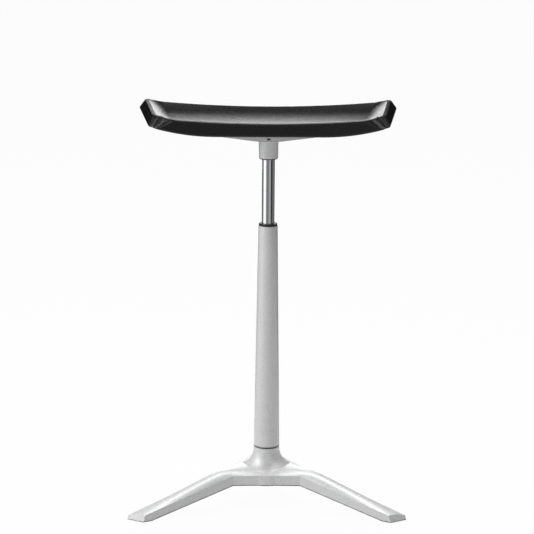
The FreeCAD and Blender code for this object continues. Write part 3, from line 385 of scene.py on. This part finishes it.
def seat_half_section(y):
    """Half of the seat's section at y in millimetres as three rows of points.

    The rows are the underside from the middle outwards, the end wall upwards and the top from the middle
    outwards. Underside and top have the same number of points, at the same x. A point is (x, z, x of the
    wall at its level, radius of the plan's corner there).
    """
    half = SEAT_DEPTH / 2
    from_end = half - abs(y)
    inset = 0.0
    if from_end < END_ROUND:
        inset = END_ROUND - math.sqrt(END_ROUND ** 2 - (END_ROUND - from_end) ** 2)
    sunk = max(0.0, 1 - (abs(y) / (half - RIM_WIDTH)) ** SINK_POWER)
    edge_x = EDGE_HALF + EDGE_SPLAY * y - inset
    edge_z = EDGE_Z + EDGE_CLIMB * y
    top_x = TOP_HALF + TOP_SPLAY * y - inset
    top_z = TOP_Z + TOP_CLIMB * y - inset
    rim_x = top_x - RIM_WIDTH + inset
    crease_x = CREASE_HALF + CREASE_SPLAY * y
    crease_z = CREASE_Z + TOP_CLIMB * y - inset - sunk * CREASE_SINK
    dish_z = DISH_Z + DISH_CLIMB * y - inset - sunk * DISH_SINK
    turn_x = edge_x - EDGE_TURN
    low_corner, high_corner = FRONT_CORNERS if y < 0 else BACK_CORNERS

    def under_z(x):
        past = max(0.0, x - UNDER_FLAT_HALF)
        return UNDER_Z + inset + BEND - math.sqrt(BEND ** 2 - past ** 2)

    rise = crease_z - dish_z
    radius = (crease_x ** 2 + rise ** 2) / (2 * rise)

    def top_at(x):
        if x <= crease_x:
            return dish_z + radius - math.sqrt(radius ** 2 - x ** 2)
        return crease_z + (top_z - crease_z) * (x - crease_x) / (rim_x - crease_x)

    steps = [crease_x * step / DISH_STEPS for step in range(DISH_STEPS + 1)]
    steps += [crease_x + (rim_x - crease_x) * step / SLOPE_STEPS for step in range(1, SLOPE_STEPS)]
    below = [(x, under_z(x), edge_x, low_corner) for x in steps]
    top = [(x, top_at(x), top_x, high_corner) for x in steps]
    path = rounded_path([
        (turn_x, under_z(turn_x), 0, 2), (edge_x, edge_z, EDGE_ROUND, 3), (top_x, top_z, TOP_ROUND, 2),
        (rim_x, top_z, RIM_ROUND, 1), (crease_x, crease_z, 0, 0)], ARC_STEPS)
    wall = []
    # The top row already has the path's last two points, on the slope and at the crease.
    for point in path[:-2]:
        level = min(1.0, max(0.0, (point.y - edge_z) / (top_z - edge_z)))
        wall.append((point.x, point.y, edge_x + (top_x - edge_x) * level,
                     low_corner + (high_corner - low_corner) * level))
    return below, wall, top


def seat_stations():
    """Where the seat is cut across, close together over its rounded front and back edges."""
    half = SEAT_DEPTH / 2
    rim = half - RIM_WIDTH
    ends = [half - END_ROUND * (1 - math.cos(math.radians(angle))) for angle in (0, 25, 45, 60, 75, 90)]
    ends += [rim + RIM_ROUND, rim - RIM_ROUND] + [rim - past for past in PAST_RIM]
    count = 2 * math.floor((rim - PAST_RIM[-1]) / STATION_STEP)
    first = STATION_STEP * count / 2
    inner = [first - STATION_STEP * step for step in range(count + 1)]
    return sorted(set([-y for y in ends] + inner + ends))


def seat_row(made, points, y, side):
    """Places a row of section points in the mesh, on the right (1) or the left (-1)."""
    placed = []
    for x, z, wall_x, radius in points:
        round_x, round_y = corner_turned(x, y, wall_x, radius)
        placed.append(made.verts.new((side * round_x * MM, round_y * MM, z * MM)))
    return placed


def join_rows(made, first, second):
    """Closes the strip between two rows. Where they share a point, the face has three corners."""
    for number in range(len(first) - 1):
        corners = (first[number], first[number + 1], second[number + 1], second[number])
        made.faces.new(tuple(dict.fromkeys(corners)))


def moulded_seat(skin):
    """The foam seat as one closed skin, in the place of its CAD solid.

    Each station is two half rings, one for each side. Each is joined to the one before it, and the front and
    back are closed with upright columns. The crease stays crisp, except where it runs out into the rims.
    """
    made = bmesh.new()
    before = None
    creases = []
    for y in seat_stations():
        below, wall, top = seat_half_section(y)
        around = below + wall + top[::-1]
        rings = [seat_row(made, around, y, side) for side in (1, -1)]
        if abs(y) < SEAT_DEPTH / 2 - RIM_WIDTH - CREASE_FADE:
            creases.append([ring[len(ring) - 1 - DISH_STEPS] for ring in rings])
        if before:
            for ring, last in zip(rings, before):
                join_rows(made, ring, last)
        before = rings
        if abs(y) == SEAT_DEPTH / 2:
            for side, ring in zip((1, -1), rings):
                end_face(made, ring, below, wall, top, y, side)
    bmesh.ops.remove_doubles(made, verts=made.verts, dist=WELD * MM)
    bmesh.ops.recalc_face_normals(made, faces=made.faces)
    for near, far in zip(creases, creases[1:]):
        for pair in zip(near, far):
            made.edges.get(pair).smooth = False
    mesh = bpy.data.meshes.new("moulded_seat")
    made.to_mesh(mesh)
    made.free()
    seat = bpy.data.objects.new("moulded_seat", mesh)
    bpy.context.scene.collection.objects.link(seat)
    mesh.materials.append(skin)
    for face in mesh.polygons:
        face.use_smooth = True
    mark_sharp(mesh, SHARP_DEGREES)
    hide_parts("seat_pad")
    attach(seat, "seat")


def between(first, second, share):
    """Point at a share of the way from the first to the second."""
    return tuple(a + (b - a) * share for a, b in zip(first, second))


def end_face(made, ring, below, wall, top, y, side):
    """Half of the front or back face as upright columns, whose last one is the end of the wall."""
    count = len(below)
    rows = len(wall)
    columns = []
    for number in range(count):
        upright = [between(below[number], top[number], step / (rows - 1)) for step in range(1, rows - 1)]
        columns.append([ring[number]] + seat_row(made, upright, y, side) + [ring[len(ring) - 1 - number]])
    for step in range(1, TURN_COLUMNS):
        turned = [between(point, end, step / TURN_COLUMNS) for point, end in zip(upright, wall[1:-1])]
        columns.append([columns[-1][0]] + seat_row(made, turned, y, side) + [columns[-1][-1]])
    columns.append(ring[count:count + rows])
    for column, after in zip(columns, columns[1:]):
        join_rows(made, column, after)


def mark_sharp(mesh, degrees):
    """Keeps edges crisp where the faces beside them turn by more than the angle."""
    sides = {}
    for face in mesh.polygons:
        for key in face.edge_keys:
            sides.setdefault(key, []).append(face.normal.copy())
    for edge in mesh.edges:
        pair = sides.get(tuple(sorted(edge.vertices)), [])
        if len(pair) == 2 and pair[0].angle(pair[1], 0) > math.radians(degrees):
            edge.use_edge_sharp = True


# Grip

# In millimetres. The margin is from the grip's rear end to the last rib.
RIB_COUNT = 6
RIB_PITCH = 3.2
RIB_RADIUS = 0.8
RIB_LENGTH = 24.0
RIB_MARGIN = 5.0
RIB_SIDES = 20


def rib_tree():
    """Row of round ribs across a grip, half sunk into the face that they stand on."""
    tree = bpy.data.node_groups.new("grip_ribs", "GeometryNodeTree")
    sizes = {}
    for name, kind in (("First rib", "NodeSocketVector"), ("Rib radius", "NodeSocketFloat"),
                       ("Rib length", "NodeSocketFloat"), ("Pitch", "NodeSocketVector"),
                       ("Ribs", "NodeSocketInt"), ("Finish", "NodeSocketMaterial")):
        sizes[name] = tree.interface.new_socket(name, in_out="INPUT", socket_type=kind).identifier
    tree.interface.new_socket("Geometry", in_out="OUTPUT", socket_type="NodeSocketGeometry")
    given = add(tree, "NodeGroupInput")
    line = add(tree, "GeometryNodeMeshLine", links={
        "Count": given.outputs["Ribs"], "Start Location": given.outputs["First rib"],
        "Offset": given.outputs["Pitch"]})
    rod = add(tree, "GeometryNodeMeshCylinder", {"Vertices": RIB_SIDES}, {
        "Radius": given.outputs["Rib radius"], "Depth": given.outputs["Rib length"]})
    laid = add(tree, "GeometryNodeTransform", {"Rotation": (0, math.pi / 2, 0)},
               {"Geometry": rod.outputs["Mesh"]})
    ribs = add(tree, "GeometryNodeInstanceOnPoints",
               links={"Points": line.outputs["Mesh"], "Instance": laid.outputs["Geometry"]})
    real = add(tree, "GeometryNodeRealizeInstances", links={"Geometry": ribs.outputs["Instances"]})
    coated = add(tree, "GeometryNodeSetMaterial",
                 links={"Geometry": real.outputs["Geometry"], "Material": given.outputs["Finish"]})
    add(tree, "NodeGroupOutput", links={"Geometry": coated.outputs["Geometry"]})
    return tree, sizes


def grip_ribs(nylon):
    """Finger ribs across the underside of the lever's grip."""
    low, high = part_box("lever_grip")
    tree, sizes = rib_tree()
    ribs = bpy.data.objects.new("grip_ribs", bpy.data.meshes.new("grip_ribs"))
    bpy.context.scene.collection.objects.link(ribs)
    maker = ribs.modifiers.new("ribs", "NODES")
    maker.node_group = tree
    pitch = RIB_PITCH * MM
    first = high[1] - RIB_MARGIN * MM - (RIB_COUNT - 1) * pitch
    given = {"First rib": (0.0, first, low[2]), "Rib radius": RIB_RADIUS * MM, "Rib length": RIB_LENGTH * MM,
             "Pitch": (0.0, pitch, 0.0), "Ribs": RIB_COUNT, "Finish": nylon}
    for name, value in given.items():
        maker[sizes[name]] = value
    made = bpy.data.meshes.new_from_object(ribs.evaluated_get(bpy.context.evaluated_depsgraph_get()))
    ribs.modifiers.remove(maker)
    ribs.data = made
    # The round sides are smooth, and the flat ends aren't.
    for face in made.polygons:
        face.use_smooth = len(face.vertices) == 4
    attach(ribs, "lever")


# Studio

# Degrees, metres, pixels of the photograph, and millimetres for the sensor.
CAMERA_TURN = -0.8
CAMERA_PITCH = 13.4
CAMERA_ROLL = 0.4
CAMERA_DISTANCE = 3.460
CAMERA_HEIGHT = 1.246
LENS_PIXELS = 2031.0
FRAME_PIXELS = 534.0
SHIFT_PIXELS = (0.75, 1.6)
SENSOR_WIDTH = 36.0
CLIP_END = 40.0


def place_camera():
    """Sets the camera up as the photograph's was, with its slight roll and off-centre frame."""
    turn = math.radians(CAMERA_TURN)
    pitch = math.radians(CAMERA_PITCH)
    roll = math.radians(CAMERA_ROLL)
    spot = Vector((CAMERA_DISTANCE * math.sin(turn), -CAMERA_DISTANCE * math.cos(turn), CAMERA_HEIGHT))
    ahead = Vector((-math.sin(turn) * math.cos(pitch), math.cos(turn) * math.cos(pitch), -math.sin(pitch)))
    level = Vector((math.cos(turn), math.sin(turn), 0.0))
    up = level.cross(ahead)
    side = level * math.cos(roll) + up * math.sin(roll)
    top = up * math.cos(roll) - level * math.sin(roll)
    data = bpy.data.cameras.new("camera")
    data.sensor_width = SENSOR_WIDTH
    data.lens = data.sensor_width * LENS_PIXELS / FRAME_PIXELS
    data.shift_x = -SHIFT_PIXELS[0] / FRAME_PIXELS
    data.shift_y = SHIFT_PIXELS[1] / FRAME_PIXELS
    data.clip_end = CLIP_END
    camera = bpy.data.objects.new("camera", data)
    bpy.context.scene.collection.objects.link(camera)
    turned = Matrix((side, top, -ahead)).transposed().to_4x4()
    camera.matrix_world = Matrix.Translation(spot) @ turned
    bpy.context.scene.camera = camera


# Azimuth 0 is the camera's side and 90 the stool's right. The lamps look at this height on the column.
AIM_HEIGHT = 0.4

# Azimuth, elevation, distance, width, height and power of each soft lamp.
LAMPS = {
    "key_left": (-72, 32, 2.6, 1.0, 1.6, 40),
    "fill_front": (-24, 16, 3.4, 1.0, 1.6, 10),
    "top": (170, 74, 2.4, 1.8, 1.2, 66),
    "high_right": (75, 52, 2.6, 1.0, 1.0, 10),
}

# What the chromed tube mirrors around it: azimuths from and to, reach, lowest and highest point, tone and
# strength of each card. The last one keeps the bright card out of the seat's front corner.
TUBE_CARDS = {
    "card_far_left": (-128, -96, 1.9, 0.0, 1.15, "#9a9a9a", 1.0),
    "card_bright_left": (-92, -46, 1.9, 0.0, 1.15, "#ffffff", 1.7),
    "card_near_left": (-46, -27, 1.9, 0.0, 1.15, "#bfbfbf", 1.0),
    "card_front": (-27, 8, 1.9, 0.0, 1.15, "#8a8a8a", 1.0),
    "card_near_right": (8, 45, 1.9, 0.0, 1.15, "#c2c2c2", 1.0),
    "card_dark_right": (45, 67, 1.9, 0.0, 1.15, "#262626", 1.0),
    "card_right": (67, 94, 1.9, 0.0, 1.15, "#6c6c6c", 1.0),
    "card_far_right": (94, 128, 1.9, 0.0, 1.15, "#8c8c8c", 1.0),
    "flag_left": (-92, -46, 1.85, 0.36, 0.6, "#1c1c1c", 1.0),
}

# What the seat mirrors behind the stool: bright low in the middle, dark above and beside.
SEAT_CARDS = {
    "flag_back_left": (-173, -122, 3.1, 0.0, 3.0, "#0c0c0c", 1.0),
    "flag_back_right": (122, 173, 3.1, 0.0, 3.0, "#0c0c0c", 1.0),
    "flag_back_high": (173, 187, 3.1, 1.55, 3.0, "#0c0c0c", 1.0),
    "card_back_low": (173, 187, 3.2, 0.0, 0.82, "#ffffff", 6.0),
    "card_back_middle": (174, 186, 3.2, 0.82, 1.12, "#ffffff", 3.5),
    "card_back_upper": (175, 185, 3.2, 1.12, 1.5, "#ffffff", 1.5),
}

# Right one of the two dark flags on the floor behind the stool, in plan. The left one mirrors it.
FLOOR_FLAG = [(0.17, 0.5), (3.1, 0.5), (3.1, 3.0), (0.35, 3.0)]
FLOOR_FLAG_Z = 0.01

# The dark card overhead.
CANOPY_HALF = 3.2
CANOPY_Z = 2.9

# The floor, the share of it that is plain white to the camera, and the strength of the surroundings' light.
SWEEP_HALF = 9.0
WHITE_SHARE = 0.965
SKY_LIGHT = 0.23


def softbox(name, azimuth, elevation, distance, width, height, power):
    """Area light aimed at the column."""
    light = bpy.data.lights.new(name, "AREA")
    light.shape = "RECTANGLE"
    light.size = width
    light.size_y = height
    light.energy = power
    lamp = bpy.data.objects.new(name, light)
    around = math.radians(azimuth)
    raised = math.radians(elevation)
    aim = Vector((0, 0, AIM_HEIGHT))
    level = math.cos(raised)
    way = Vector((math.sin(around) * level, -math.cos(around) * level, math.sin(raised)))
    facing = way.to_track_quat("Z", "Y").to_matrix().to_4x4()
    lamp.matrix_world = Matrix.Translation(aim + way * distance) @ facing
    bpy.context.scene.collection.objects.link(lamp)


def flag(name, corners, tone, strength=1.0):
    """Card that shows only in reflections."""
    mesh = bpy.data.meshes.new(name)
    mesh.from_pydata(corners, [], [(0, 1, 2, 3)])
    card = bpy.data.objects.new(name, mesh)
    bpy.context.scene.collection.objects.link(card)
    finish, tree = new_finish(name + "_cloth")
    glow = add(tree, "ShaderNodeEmission", {"Color": from_hex(tone), "Strength": strength})
    add(tree, "ShaderNodeOutputMaterial", links={"Surface": glow.outputs["Emission"]})
    mesh.materials.append(finish)
    card.visible_camera = False
    card.visible_diffuse = False
    card.visible_shadow = False
    card.visible_transmission = False


def upright_flag(name, start, end, reach, low, high, tone, strength):
    """Upright card between two azimuths at a distance from the column."""
    points = []
    for azimuth in (start, end):
        around = math.radians(azimuth)
        points.append((reach * math.sin(around), -reach * math.cos(around)))
    near, far = points
    flag(name, [(*near, low), (*far, low), (*far, high), (*near, high)], tone, strength)


def level_square(half, z):
    """Corners of a level square about the column."""
    return [(-half, -half, z), (half, -half, z), (half, half, z), (-half, half, z)]


def white_sweep():
    """Pale matt floor, white to the camera and in reflections. A little of the stool's shadow stays."""
    mesh = bpy.data.meshes.new("sweep")
    mesh.from_pydata(level_square(SWEEP_HALF, 0.0), [], [(0, 1, 2, 3)])
    floor = bpy.data.objects.new("sweep", mesh)
    bpy.context.scene.collection.objects.link(floor)
    finish, tree = new_finish("white_sweep")
    path = add(tree, "ShaderNodeLightPath")
    seen = add(tree, "ShaderNodeMath", {"operation": "MAXIMUM"},
               {0: path.outputs["Is Camera Ray"], 1: path.outputs["Is Glossy Ray"]})
    share = add(tree, "ShaderNodeMath", {"operation": "MULTIPLY", 1: WHITE_SHARE},
                {0: seen.outputs["Value"]})
    matt = add(tree, "ShaderNodeBsdfDiffuse", {"Color": from_hex("#c4c4c4")})
    glow = add(tree, "ShaderNodeEmission", {"Color": from_hex("#ffffff"), "Strength": 1.0})
    both = add(tree, "ShaderNodeMixShader", {},
               {0: share.outputs["Value"], 1: matt.outputs["BSDF"], 2: glow.outputs["Emission"]})
    add(tree, "ShaderNodeOutputMaterial", links={"Surface": both.outputs["Shader"]})
    mesh.materials.append(finish)


def white_surroundings():
    """World that is white to the camera and in reflections, and gives the stool only a little light."""
    world = bpy.data.worlds.new("studio")
    bpy.context.scene.world = world
    world.use_nodes = True
    tree = world.node_tree
    tree.nodes.clear()
    path = add(tree, "ShaderNodeLightPath")
    seen = add(tree, "ShaderNodeMath", {"operation": "MAXIMUM"},
               {0: path.outputs["Is Camera Ray"], 1: path.outputs["Is Glossy Ray"]})
    through = add(tree, "ShaderNodeMath", {"operation": "MAXIMUM"},
                  {0: seen.outputs["Value"], 1: path.outputs["Is Transmission Ray"]})
    strength = add(tree, "ShaderNodeMapRange", {"To Min": SKY_LIGHT, "To Max": 1.0},
                   {"Value": through.outputs["Value"]})
    sky = add(tree, "ShaderNodeBackground", {"Color": from_hex("#ffffff")},
              {"Strength": strength.outputs["Result"]})
    add(tree, "ShaderNodeOutputWorld", links={"Surface": sky.outputs["Background"]})


def studio():
    """White sweep and surroundings, soft lamps, and cards for the metal and the seat to mirror."""
    white_sweep()
    white_surroundings()
    for name, numbers in LAMPS.items():
        softbox(name, *numbers)
    for name, numbers in (TUBE_CARDS | SEAT_CARDS).items():
        upright_flag(name, *numbers)
    for name, side in (("floor_flag_left", -1), ("floor_flag_right", 1)):
        flag(name, [(side * x, y, FLOOR_FLAG_Z) for x, y in FLOOR_FLAG], "#0c0c0c")
    flag("canopy", level_square(CANOPY_HALF, CANOPY_Z), "#161616")


nylon, skin = finish_nodes()
moulded_seat(skin)
grip_ribs(nylon)
place_camera()
studio()
bpy.context.scene.view_settings.view_transform = "Standard"
